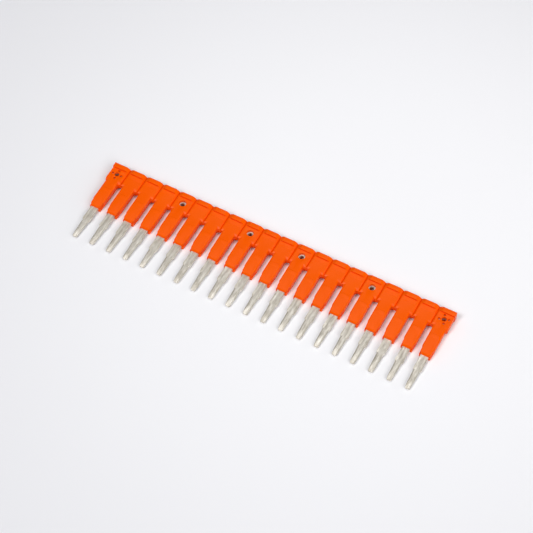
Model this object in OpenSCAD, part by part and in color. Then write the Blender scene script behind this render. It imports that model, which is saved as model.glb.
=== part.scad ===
// Plug-in jumper for a row of rail terminals. A stamped metal comb joins all the poles, and an
// insulating housing is moulded round it, so that only the contact prongs are bare.
// Both faces are alike but for the bevels on the front, so it can be plugged in either way round.
// Millimetres. The jumper lies on its back: X runs along the row of poles, Y from the prong tips
// to the lip, Z up from the surface that the lip lies on.

/* [Row of poles] */
// Number of poles
poles = 20; // [14:2:40]
// Distance from one pole to the next
pitch = 5.1; // [4.9:0.1:6.2]

/* [Lengths from lip to tip] */
// Depth of the bar that joins the fingers, from its outer edge to the slots
bar_d = 5.65; // [5.5:0.05:6.6]
// Length of a finger, from the end of the slot to its nose
finger_len = 9.15; // [8.1:0.05:10.4]
// Length of bare prong beyond the nose
prong_len = 10.35; // [9.2:0.05:12]

/* [Housing] */
// Full thickness, over the lip
lip_h = 2.9; // [2.7:0.05:3.3]
// Width of the lip along the outer edge
lip_w = 1.35; // [1.1:0.05:1.6]
// Height of the lip over the strip below it
lip_step = 0.4; // [0.25:0.01:0.44]
// Width of the strip below the lip
strip_w = 1.3; // [0.9:0.05:1.6]
// Height of that strip over the bar
strip_step = 0.05; // [0.03:0.01:0.1]
// How far the fingers lie below the bar
finger_step = 0.04; // [0.02:0.01:0.06]
// Width of a finger
finger_w = 3.4; // [3.1:0.02:3.6]
// How far the bar runs past the sides of the outer fingers
end_margin = 0.45; // [0.3:0.01:0.6]
// How far the lip runs past the ends of the bar
lip_margin = 0.1; // [0.04:0.02:0.2]

/* [Bevels and grooves] */
// Width of the bevel along the fingers
bevel_w = 0.3; // [0.2:0.01:0.36]
// Depth of that bevel
bevel_d = 0.1; // [0.06:0.01:0.14]
// Width of the bevel at the end of a slot
slot_bevel_w = 0.47; // [0.3:0.01:0.5]
// Depth of that bevel
slot_bevel_d = 0.29; // [0.2:0.01:0.32]
// Radius of a slot's inner corners
slot_r = 0.4; // [0.2:0.02:0.5]
// Depth of the breaking groove between two poles, below the bar
groove_d = 0.4; // [0.2:0.01:0.44]
// Half width of that groove, at the strip
groove_w = 0.46; // [0.3:0.01:0.5]
// Half width of the notch that the groove makes in the lip
notch_w = 1.2; // [0.8:0.02:1.4]

/* [Noses and snap wedges] */
// Length of the narrower nose at the end of a finger
nose_len = 2.2; // [1.6:0.05:2.4]
// How far each side of the nose is set in, on the front
nose_in = 0.16; // [0.1:0.01:0.2]
// How far the front's corners are cut back across the end of the nose
nose_cut_w = 0.34; // [0.2:0.01:0.36]
// How far they are cut back along its sides
nose_cut_len = 0.8; // [0.4:0.02:0.9]
// How far each side of the nose is set in, on the back
nose_back_in = 0.06; // [0.02:0.01:0.1]
// How far the back's corners are cut back, each way
nose_back_cut = 0.14; // [0.06:0.01:0.2]
// Length of the slope on the nose's end, on the front
nose_bevel_len = 0.3; // [0.1:0.01:0.34]
// Depth of that slope
nose_bevel_d = 0.42; // [0.2:0.01:0.44]
// Height of the snap wedge over the finger
wedge_h = 0.14; // [0.08:0.01:0.18]
// Length of the wedge's slope
wedge_len = 0.97; // [0.7:0.01:1.2]
// Distance from the nose to the foot of the wedge
wedge_at = 5.52; // [4:0.01:5.8]

/* [Support holes] */
// Distance of the holes from the outer edge of the lip
hole_at = 3.1; // [3.05:0.05:3.2]
// Diameter of the holes over the inner poles
hole_d = 1.86; // [1.6:0.02:2]
// Diameter of the comb's hole below an inner hole
comb_hole_d = 1.2; // [1:0.02:1.4]
// Diameter of the holes over the two end poles
end_hole_d = 1.32; // [1:0.02:1.5]
// Diameter of the four pin marks round an end hole
pin_d = 0.66; // [0.4:0.02:0.7]
// Radius of the circle on which the pin marks lie
pin_ring = 1.28; // [1.2:0.02:1.32]
// Turn of the pin marks at the last pole
pin_turn = 17; // [0:1:45]

/* [Contact comb] */
// Thickness of the comb's sheet
comb_t = 0.7; // [0.6:0.05:0.85]
// Width of a prong where it leaves the nose
shank_w = 2.12; // [1.9:0.02:2.2]
// How far each side of the prong swells at the shoulder
swell = 0.09; // [0.04:0.01:0.14]
// Distance from the nose to the shoulder
shoulder_at = 4.25; // [3.8:0.05:4.6]
// Width of the blade below the shoulder
blade_w = 1.74; // [1.6:0.02:1.8]
// How much each side of the blade draws in towards its end
blade_taper = 0.14; // [0.08:0.01:0.18]
// Width of the coined flats along the blade's edges
coin_w = 0.36; // [0.28:0.02:0.44]
// Depth of those flats
coin_d = 0.12; // [0.06:0.01:0.16]
// Length of the lead-in wedge at the tip
lead_len = 2.7; // [2:0.1:3.2]
// Thickness left at the tip
tip_t = 0.42; // [0.36:0.02:0.5]
// Radius of the tip's corners
tip_r = 0.26; // [0.2:0.02:0.34]

/* [Hidden] */

// Cutting shapes pass the faces that they cut by this much
over = 1;
$fn = 48;

// Places along Y, from the outer edge of the lip to the tips
outer = (bar_d + finger_len + prong_len)/2;
slot_end = outer - bar_d;
nose = slot_end - finger_len;
tip = nose - prong_len;
lip_y = outer - lip_w;
strip_y = lip_y - strip_w;
hole_y = outer - hole_at;
shoulder_y = nose - shoulder_at;

// Heights of one face over the middle plane, about which the two faces mirror each other
lip_z = lip_h/2;
strip_z = lip_z - lip_step;
bar_z = strip_z - strip_step;
finger_z = bar_z - finger_step;
top = lip_z + over;

// Places along X
slot_half = (pitch - finger_w)/2;
bar_half = (poles - 1)*pitch/2 + finger_w/2 + end_margin;
lip_half = bar_half + lip_margin;

// The bus of the comb runs under all the holes and pin marks, with a rim to spare
bus_rim = 0.14;
bus_half_w = pin_ring + pin_d/2 + bus_rim;
bus_half = (poles - 1)*pitch/2 + bus_half_w;

// Inner holes lie this many pitches either side of the middle of the row
hole_pitches = [1.5, 5.5];

function pole_x(i) = (i - (poles - 1)/2)*pitch;
function gap_x(i) = (i - poles/2)*pitch;

// Closes an outline that is the same left and right of X = 0, or above and below Z = 0
function both_sides(half) = concat(half, [for (i = [len(half) - 1:-1:0]) [-half[i][0], half[i][1]]]);
function both_faces(half) = concat(half, [for (i = [len(half) - 1:-1:0]) [half[i][0], -half[i][1]]]);

// A section in Y and Z drawn out along X, and one in X and Z drawn out along Y
module along_x(x0, x1) translate([x0, 0, 0]) rotate([90, 0, 90]) linear_extrude(x1 - x0) children();
module along_y(y0, y1) translate([0, y1, 0]) rotate([90, 0, 0]) linear_extrude(y1 - y0) children();
module on_both_faces() for (face = [0, 1]) mirror([0, 0, face]) children();
module on_both_ends() for (side = [-1, 1]) translate([side*pole_x(poles - 1), hole_y, 0]) children();

// Section of the bar and the fingers, with the snap wedge and the step up to the strip
module bar_section() {
  wedge_y = nose + wedge_at;
  wedge_top = wedge_y + wedge_len;
  polygon(both_faces([
    [outer - lip_w/2, strip_z],
    [strip_y + strip_step, strip_z],
    [strip_y, bar_z],
    [wedge_top + wedge_h, bar_z],
    [wedge_top, finger_z + wedge_h],
    [wedge_y, finger_z],
    [nose, finger_z]
  ]));
}

// Section of the lip: a blunt outer edge, and a slight slope on the side of the fingers
module lip_section() {
  edge = 0.1;
  slope_w = 0.4;
  slope_d = 0.08;
  polygon(both_faces([
    [outer, lip_z - edge],
    [outer - edge, lip_z],
    [lip_y + slope_w, lip_z],
    [lip_y, lip_z - slope_d]
  ]));
}

// One slot, centred on X = 0: its bevels on the front meet in mitres, and its inner corners are round
module slot() {
  side_foot = finger_z - bevel_d;
  end_foot = bar_z - slot_bevel_d;
  side_x = slot_half + (top - side_foot)*bevel_w/bevel_d;
  end_y = slot_end + (top - end_foot)*slot_bevel_w/slot_bevel_d;
  difference() {
    intersection() {
      along_y(nose - over, outer)
        polygon(both_sides([[slot_half, -top], [slot_half, side_foot], [side_x, top]]));
      along_x(-pitch, pitch) polygon([
        [nose - over, -top],
        [nose - over, top],
        [end_y, top],
        [slot_end, end_foot],
        [slot_end, -top]
      ]);
    }
    for (side = [0, 1]) mirror([side, 0, 0])
      translate([slot_half - slot_r, slot_end - slot_r, -top]) linear_extrude(top + end_foot)
        difference() {
          square(slot_r + over);
          circle(slot_r);
        }
  }
}

// What sets the noses in on both sides of a slot and cuts their corners back, more on the front
module nose_relief() {
  shoulder_run = 1.5;
  draw_in = 0.06;
  shoulder = nose + nose_len;
  front_in = slot_half + nose_in;
  back_in = slot_half + nose_back_in;
  linear_extrude(top) polygon(both_sides([
    [slot_half, shoulder],
    [front_in, shoulder - nose_in*shoulder_run],
    [front_in + draw_in, nose + nose_cut_len],
    [front_in + draw_in + nose_cut_w, nose],
    [front_in + draw_in + nose_cut_w, nose - over]
  ]));
  translate([0, 0, -top]) linear_extrude(top) polygon(both_sides([
    [slot_half, shoulder],
    [back_in, shoulder - nose_in*shoulder_run],
    [back_in + draw_in, nose + nose_back_cut],
    [back_in + draw_in + nose_back_cut, nose],
    [back_in + draw_in + nose_back_cut, nose - over]
  ]));
}

// What slopes the ends of the noses on the front
module nose_slope() {
  along_x(-lip_half, lip_half) polygon([
    [nose + nose_bevel_len, finger_z],
    [nose + nose_bevel_len, top],
    [nose - over, top],
    [nose - over, finger_z - nose_bevel_d*(nose_bevel_len + over)/nose_bevel_len]
  ]);
}

// Breaking groove between two poles, across the bar and as a wider notch through the lip
module groove() {
  floor_z = bar_z - groove_d;
  spread = (notch_w - groove_w)/lip_step;
  on_both_faces() along_y(slot_end - over, outer + over)
    polygon(both_sides([[0, floor_z], [groove_w, strip_z], [notch_w + over*spread, top]]));
}

// Support holes: large ones over some inner poles, and at each end one with four pin marks
module support_holes() {
  for (k = hole_pitches, side = [-1, 1])
    translate([side*k*pitch, hole_y, 0]) cylinder(d = hole_d, h = 2*top, center = true);
  on_both_ends() cylinder(d = end_hole_d, h = 2*top, center = true);
  for (side = [-1, 1], k = [0:3]) translate([side*pole_x(poles - 1), hole_y, 0])
    rotate([0, 0, 90*k + (side > 0 ? pin_turn : 0)])
      translate([pin_ring, 0, 0]) cylinder(d = pin_d, h = 2*top, center = true);
}

// The comb's sheet inside the housing: the bus across all poles, and a shank down each finger
module comb_core(shank_end) {
  linear_extrude(comb_t, center = true) {
    translate([-bus_half, hole_y - bus_half_w]) square([2*bus_half, 2*bus_half_w]);
    for (i = [0:poles - 1])
      translate([pole_x(i) - shank_w/2, shank_end]) square([shank_w, hole_y - shank_end]);
  }
}

// Outline of a bare prong below the nose: shank, swelling, shoulder, tapered blade and round tip
module prong_outline() {
  shank = shank_w/2;
  blade = blade_w/2;
  shoulder_len = 0.5;
  swell_len = 1;
  tip_draw = 0.25;
  tip_half = blade - tip_draw;
  polygon(both_sides([
    [shank, nose],
    [shank, shoulder_y + shoulder_len + swell_len],
    [shank + swell, shoulder_y + shoulder_len],
    [shank + swell, shoulder_y],
    [blade, shoulder_y - shoulder_len],
    [blade - blade_taper, tip + lead_len/2],
    [tip_half, tip + tip_r],
    [tip_half - tip_r, tip]
  ]));
  for (side = [-1, 1]) translate([side*(tip_half - tip_r), tip + tip_r]) circle(tip_r);
}

// What coining takes off one face of a prong: flats along the blade, and a lead-in at the tip
module coining() {
  lead_y = tip + lead_len;
  lead_d = (comb_t - tip_t)/2;
  coin_gap = 0.3;
  coin_y = shoulder_y - coin_gap;
  lean = atan(blade_taper/(coin_y - tip - lead_len/2));
  for (side = [0, 1]) mirror([side, 0, 0])
    translate([blade_w/2, coin_y, comb_t/2]) rotate([0, 0, -lean]) along_y(tip - over - coin_y, 0)
      polygon([[-coin_w, 0], [over, -coin_d*(coin_w + over)/coin_w], [over, over], [-coin_w, over]]);
  along_x(-pitch/2, pitch/2)
    polygon([[lead_y, comb_t/2], [lead_y, comb_t], [tip - over, comb_t],
      [tip - over, comb_t/2 - lead_d*(lead_len + over)/lead_len]]);
}

// One bare prong, coined on both faces
module prong() {
  difference() {
    linear_extrude(comb_t, center = true) prong_outline();
    on_both_faces() coining();
  }
}

module contact_comb() {
  color("#b9b4a8") translate([0, 0, lip_z]) difference() {
    union() {
      comb_core(nose);
      for (i = [0:poles - 1]) translate([pole_x(i), 0, 0]) prong();
    }
    for (k = hole_pitches, side = [-1, 1])
      translate([side*k*pitch, hole_y, 0]) cylinder(d = comb_hole_d, h = lip_h, center = true);
    on_both_ends() cylinder(d = end_hole_d, h = lip_h, center = true);
  }
}

module housing() {
  color("#fb5c05") translate([0, 0, lip_z]) difference() {
    union() {
      along_x(-bar_half, bar_half) bar_section();
      along_x(-lip_half, lip_half) lip_section();
    }
    for (i = [0:poles]) translate([gap_x(i), 0, 0]) {
      slot();
      nose_relief();
    }
    for (i = [1:poles - 1]) translate([gap_x(i), 0, 0]) groove();
    nose_slope();
    comb_core(nose - over);
    support_holes();
  }
}

contact_comb();
housing();
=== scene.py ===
import math

import bmesh
import bpy
from mathutils import Matrix, Vector


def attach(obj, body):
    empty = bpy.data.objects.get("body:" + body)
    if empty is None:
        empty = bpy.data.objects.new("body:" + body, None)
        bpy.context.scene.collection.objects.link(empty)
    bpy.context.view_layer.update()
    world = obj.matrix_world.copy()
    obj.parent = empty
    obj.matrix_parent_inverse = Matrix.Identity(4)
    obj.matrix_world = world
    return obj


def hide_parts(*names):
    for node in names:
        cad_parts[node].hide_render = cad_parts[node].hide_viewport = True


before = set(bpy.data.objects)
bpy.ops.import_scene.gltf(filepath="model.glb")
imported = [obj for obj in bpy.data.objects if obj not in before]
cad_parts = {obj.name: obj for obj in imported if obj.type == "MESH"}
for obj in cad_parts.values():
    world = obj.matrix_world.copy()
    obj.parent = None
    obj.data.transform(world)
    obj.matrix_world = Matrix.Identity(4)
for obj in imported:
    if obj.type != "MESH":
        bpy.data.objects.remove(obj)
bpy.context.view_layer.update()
mm = 0.001
bumpMm = 0.02  # full height of the fine bumps in both finishes


def linearColour(hexColour, alpha=1.0):
    # sRGB hex to the linear values that shaders take
    parts = [int(hexColour[i:i + 2], 16) / 255 for i in (1, 3, 5)]
    return tuple(c / 12.92 if c <= 0.04045 else ((c + 0.055) / 1.055) ** 2.4 for c in parts) + (alpha,)


def addNode(tree, kind, settings=None, values=None, links=None):
    # one node with its settings, its socket values and what feeds its sockets
    node = tree.nodes.new(kind)
    for name, value in (settings or {}).items():
        setattr(node, name, value)
    for socket, value in (values or {}).items():
        node.inputs[socket].default_value = value
    for socket, source in (links or {}).items():
        tree.links.new(source, node.inputs[socket])
    return node


def newMaterial(name):
    material = bpy.data.materials.new(name)
    material.use_nodes = True
    tree = material.node_tree
    return material, tree, tree.nodes["Principled BSDF"]


def scaleFor(sizeMm):
    # texture scale at which one feature is about sizeMm across, in object coordinates in metres
    return 1.0 / (sizeMm * mm)


housingFinish = {
    "colour": "#fa5e00",
    "flowColour": "#f65900",   # slightly deeper where the melt met
    "flowMm": 6.0,
    "paintedShadeColour": "#e62400",  # painted shade: deeper orange in inner corners, standing in for shade and light bouncing within the orange
    "paintedShadeMm": 0.4,
    "paintedShadeReach": (0.82, 0.58),  # openness where the painted shade starts and is full
    "grainMm": 0.35,           # spark-eroded mould grain, drawn coarser than the real 0.05 mm
    "grainDepth": 0.10,
    "roughness": (0.24, 0.30),
    "specular": 0.06,          # lower than real polyamide, since the photograph's flats show no reflection
    "ior": 1.53,
}


def mouldedPolyamide(finish):
    # moulded polyamide, mass-coloured orange: an even, saturated body with painted shade in inner corners and
    # a soft, weak sheen on bevels
    material, tree, shader = newMaterial("moulded polyamide, orange")
    place = addNode(tree, "ShaderNodeTexCoord").outputs["Object"]
    flow = addNode(tree, "ShaderNodeTexNoise", values={"Scale": scaleFor(finish["flowMm"]), "Detail": 3.0},
                   links={"Vector": place}).outputs["Fac"]
    tone = addNode(tree, "ShaderNodeMix", {"data_type": "RGBA"}, {6: linearColour(finish["colour"]),
                   7: linearColour(finish["flowColour"])}, {0: flow}).outputs[2]
    # painted shade: ambient occlusion deepens the base colour in inner corners and creases
    openness = addNode(tree, "ShaderNodeAmbientOcclusion", {"samples": 8, "only_local": True},
                       {"Distance": finish["paintedShadeMm"] * mm}).outputs["AO"]
    start, full = finish["paintedShadeReach"]
    paintedShadeMask = addNode(tree, "ShaderNodeMapRange", values={"From Min": start, "From Max": full},
                     links={"Value": openness}).outputs["Result"]
    tone = addNode(tree, "ShaderNodeMix", {"data_type": "RGBA"}, {7: linearColour(finish["paintedShadeColour"])},
                   {0: paintedShadeMask, 6: tone}).outputs[2]
    grain = addNode(tree, "ShaderNodeTexNoise", values={"Scale": scaleFor(finish["grainMm"]), "Detail": 4.0},
                    links={"Vector": place}).outputs["Fac"]
    low, high = finish["roughness"]
    rough = addNode(tree, "ShaderNodeMapRange", values={"To Min": low, "To Max": high},
                    links={"Value": grain}).outputs["Result"]
    bump = addNode(tree, "ShaderNodeBump", values={"Strength": finish["grainDepth"], "Distance": bumpMm * mm},
                   links={"Height": grain}).outputs["Normal"]
    tree.links.new(tone, shader.inputs["Base Color"])
    tree.links.new(rough, shader.inputs["Roughness"])
    tree.links.new(bump, shader.inputs["Normal"])
    shader.inputs["Specular IOR Level"].default_value = finish["specular"]
    shader.inputs["IOR"].default_value = finish["ior"]
    return material


tinFinish = {
    "colour": "#efeae0",
    "dullColour": "#cac3b5",   # thin or tarnished tin
    "mottleMm": 0.5,
    "mottleStretch": 4.0,      # drawn out along the prongs
    "mottleReach": (0.3, 0.7),
    "rollMm": 0.16,            # rolling lines of the strip, drawn coarser than the real 0.02 mm
    "rollStretch": 25.0,
    "rollDepth": 0.3,
    "roughness": (0.46, 0.62),
}


def tinnedCopper(finish):
    # stamped copper with dull tin plate: warm grey, softly reflecting, mottled and lined along the prongs
    material, tree, shader = newMaterial("tinned copper, stamped")
    place = addNode(tree, "ShaderNodeTexCoord").outputs["Object"]
    drawn = addNode(tree, "ShaderNodeMapping", values={"Scale": (1.0, 1 / finish["mottleStretch"], 1.0)},
                    links={"Vector": place}).outputs["Vector"]
    mottle = addNode(tree, "ShaderNodeTexNoise",
                     values={"Scale": scaleFor(finish["mottleMm"]), "Detail": 4.0},
                     links={"Vector": drawn}).outputs["Fac"]
    near, far = finish["mottleReach"]
    worn = addNode(tree, "ShaderNodeMapRange", values={"From Min": near, "From Max": far},
                   links={"Value": mottle}).outputs["Result"]
    tone = addNode(tree, "ShaderNodeMix", {"data_type": "RGBA"}, {6: linearColour(finish["colour"]),
                   7: linearColour(finish["dullColour"])}, {0: worn}).outputs[2]
    stretched = addNode(tree, "ShaderNodeMapping", values={"Scale": (1.0, 1 / finish["rollStretch"], 1.0)},
                        links={"Vector": place}).outputs["Vector"]
    lines = addNode(tree, "ShaderNodeTexNoise", values={"Scale": scaleFor(finish["rollMm"]), "Detail": 2.0},
                    links={"Vector": stretched}).outputs["Fac"]
    low, high = finish["roughness"]
    rough = addNode(tree, "ShaderNodeMapRange", values={"To Min": low, "To Max": high},
                    links={"Value": worn}).outputs["Result"]
    bump = addNode(tree, "ShaderNodeBump", values={"Strength": finish["rollDepth"], "Distance": bumpMm * mm},
                   links={"Height": lines}).outputs["Normal"]
    tree.links.new(tone, shader.inputs["Base Color"])
    tree.links.new(rough, shader.inputs["Roughness"])
    tree.links.new(bump, shader.inputs["Normal"])
    shader.inputs["Metallic"].default_value = 1.0
    return material


skins = {
    "housing": {"piece": "housingSkin", "slot": "orange_polyamide", "edgeMm": 0.045, "segments": 3},
    "contact_comb": {"piece": "combSkin", "slot": "tinned_copper", "edgeMm": 0.045, "segments": 2},
}
rowOfPoles = {"poles": 20, "pitchMm": 5.1}
roundFrom = math.radians(14)  # edges at least this sharp are rounded
slightFrom = math.radians(1)  # edges between this and roundFrom stay crisp
flatBelow = math.radians(0.5)  # edges flatter than this are dissolved
weldMm = 0.0002


def skinOver(node, skin, row, material):
    # a clean copy of the CAD solid: flat faces in one piece between the poles, all edges softly rounded
    bm = bmesh.new()
    bm.from_mesh(node.data)
    bmesh.ops.remove_doubles(bm, verts=bm.verts, dist=weldMm * mm)
    cuts = [(i - row["poles"]) * row["pitchMm"] / 2 * mm for i in range(1, 2 * row["poles"])]
    for x in cuts:
        bmesh.ops.bisect_plane(bm, geom=bm.verts[:] + bm.edges[:] + bm.faces[:], dist=weldMm * mm,
                               plane_co=(x, 0, 0), plane_no=(1, 0, 0))
    inCut = {round(x / mm, 3) for x in cuts}
    flat = [e for e in bm.edges if e.is_manifold and e.calc_face_angle(1) < flatBelow
            and not (round(e.verts[0].co.x / mm, 3) == round(e.verts[1].co.x / mm, 3)
                     and round(e.verts[0].co.x / mm, 3) in inCut)]
    bmesh.ops.dissolve_edges(bm, edges=flat, use_verts=True)
    bm.normal_update()
    for edge in bm.edges:  # slight slopes keep a crisp edge, and round walls are smooth
        slight = edge.is_manifold and slightFrom < edge.calc_face_angle(0) < roundFrom
        edge.smooth = not slight or all(abs(f.normal.z) < 0.02 for f in edge.link_faces)
    mesh = bpy.data.meshes.new(skin["piece"])
    bm.to_mesh(mesh)
    bm.free()
    for face in mesh.polygons:
        face.use_smooth = True
    piece = bpy.data.objects.new(skin["piece"], mesh)
    bpy.context.scene.collection.objects.link(piece)
    mesh.materials.append(material)
    rounding = piece.modifiers.new("edges", "BEVEL")
    rounding.width = skin["edgeMm"] * mm
    rounding.segments = skin["segments"]
    rounding.limit_method = "ANGLE"
    rounding.angle_limit = roundFrom
    rounding.harden_normals = True
    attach(piece, "root")
    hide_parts(node.name)
    return piece


skinMaterials = {"housing": mouldedPolyamide(housingFinish), "contact_comb": tinnedCopper(tinFinish)}
for name, skin in skins.items():
    skinOver(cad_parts[name], skin, rowOfPoles, skinMaterials[name])
print("housing and comb: materials and rounded edges")

floorSheet = {
    "colour": "#fbfbfe",
    "fadedColour": "#e3e3e7",    # where the painted pool of light on the sheet has faded
    "pool": (25.0, 35.0),        # mm, middle of the painted pool of light
    "fadeMm": (20.0, 180.0),
    "lipEdge": (11.625, 0.0),    # where the lip's back touches, y and z in mm
    "noseEdge": (-2.225, 0.49),  # where the noses touch
    "clearMm": 0.004,            # the sheet lies just clear of the part
    "size": 3.0,
}


def whitePaper(sheet):
    # matt white paper with a painted pool of light: a little darker away from its middle
    material, tree, shader = newMaterial("white paper")
    place = addNode(tree, "ShaderNodeTexCoord").outputs["Object"]
    pool = Vector((sheet["pool"][0], sheet["pool"][1] - sheet["lipEdge"][0], 0)) * mm
    away = addNode(tree, "ShaderNodeVectorMath", {"operation": "DISTANCE"}, {1: pool},
                   {0: place}).outputs["Value"]
    near, far = (reach * mm for reach in sheet["fadeMm"])
    fade = addNode(tree, "ShaderNodeMapRange", {"interpolation_type": "SMOOTHSTEP"},
                   {"From Min": near, "From Max": far}, {"Value": away}).outputs["Result"]
    tone = addNode(tree, "ShaderNodeMix", {"data_type": "RGBA"}, {6: linearColour(sheet["colour"]),
                   7: linearColour(sheet["fadedColour"])}, {0: fade}).outputs[2]
    tree.links.new(tone, shader.inputs["Base Color"])
    shader.inputs["Roughness"].default_value = 0.9
    shader.inputs["Specular IOR Level"].default_value = 0.0
    return material


def layFloor(sheet):
    # the jumper lies on its lip and noses, so the floor runs under both
    slope = math.atan2(sheet["noseEdge"][1] - sheet["lipEdge"][1], sheet["lipEdge"][0] - sheet["noseEdge"][0])
    half = sheet["size"] / 2
    mesh = bpy.data.meshes.new("floor")
    corners = [(-half, -half, 0), (half, -half, 0), (half, half, 0), (-half, half, 0)]
    mesh.from_pydata(corners, [], [(0, 1, 2, 3)])
    mesh.materials.append(whitePaper(sheet))
    floor = bpy.data.objects.new("floor", mesh)
    bpy.context.scene.collection.objects.link(floor)
    floor.location = (0, sheet["lipEdge"][0] * mm, (sheet["lipEdge"][1] - sheet["clearMm"]) * mm)
    floor.rotation_euler.x = -slope


layFloor(floorSheet)

studioLights = {  # metres and degrees, azimuth from +X towards +Y
    "side": {"azimuth": 333, "elevation": 40, "distance": 1.6, "width": 1.3, "height": 0.9, "watts": 13.8},
    "front": {"azimuth": 241, "elevation": 55, "distance": 1.6, "width": 0.5, "height": 0.5, "watts": 10.8},
    "top": {"azimuth": 95, "elevation": 74, "distance": 1.6, "width": 0.9, "height": 0.9, "watts": 7.0},
    "low": {"azimuth": 28, "elevation": 15, "distance": 1.6, "width": 0.8, "height": 0.4, "watts": 3.0},
    "left": {"azimuth": 165, "elevation": 28, "distance": 1.6, "width": 0.7, "height": 0.7, "watts": 1.5},
}
worldLevel = 0.06


def lightStudio(lights, level):
    for name, light in lights.items():
        lamp = bpy.data.lights.new(name, "AREA")
        lamp.shape = "RECTANGLE"
        lamp.size = light["width"]
        lamp.size_y = light["height"]
        lamp.energy = light["watts"]
        box = bpy.data.objects.new(name, lamp)
        bpy.context.scene.collection.objects.link(box)
        azimuth, elevation = math.radians(light["azimuth"]), math.radians(light["elevation"])
        toward = Vector((math.cos(elevation) * math.cos(azimuth), math.cos(elevation) * math.sin(azimuth),
                         math.sin(elevation)))
        box.location = toward * light["distance"]
        box.rotation_euler = toward.to_track_quat("Z", "Y").to_euler()
    world = bpy.data.worlds.new("studio")
    world.use_nodes = True
    sky = world.node_tree.nodes["Background"]
    sky.inputs["Color"].default_value = (1, 1, 1, 1)
    sky.inputs["Strength"].default_value = level
    bpy.context.scene.world = world


lightStudio(studioLights, worldLevel)
print("floor and lights")

cameraView = {
    "azimuth": 28.0,             # degrees, fitted to the row of poles
    "elevation": 57.31,
    "roll": 0.0,
    "target": (0.2, 3.869, -0.3),   # mm, point on the axis of the lens
    "distanceMm": 423.6,
    "focalPixels": 1617.4,       # for the 533 pixel frame
    "framePixels": 533.0,
}


def placeCamera(view):
    azimuth, elevation, roll = (math.radians(view[k]) for k in ("azimuth", "elevation", "roll"))
    back = Vector((math.sin(azimuth) * math.cos(elevation), -math.cos(azimuth) * math.cos(elevation),
                   math.sin(elevation)))
    level = Vector((math.cos(azimuth), math.sin(azimuth), 0))
    rise = back.cross(level)
    right = math.cos(roll) * level + math.sin(roll) * rise
    up = math.cos(roll) * rise - math.sin(roll) * level
    lens = bpy.data.cameras.new("camera")
    lens.sensor_width = 36.0
    lens.lens = lens.sensor_width * view["focalPixels"] / view["framePixels"]
    lens.clip_start = 0.01
    camera = bpy.data.objects.new("camera", lens)
    bpy.context.scene.collection.objects.link(camera)
    spot = (Vector(view["target"]) + back * view["distanceMm"]) * mm
    camera.matrix_world = Matrix(((right.x, up.x, back.x, spot.x), (right.y, up.y, back.y, spot.y),
                                  (right.z, up.z, back.z, spot.z), (0, 0, 0, 1)))
    bpy.context.scene.camera = camera


placeCamera(cameraView)
bpy.context.scene.view_settings.view_transform = "Standard"
print("camera")
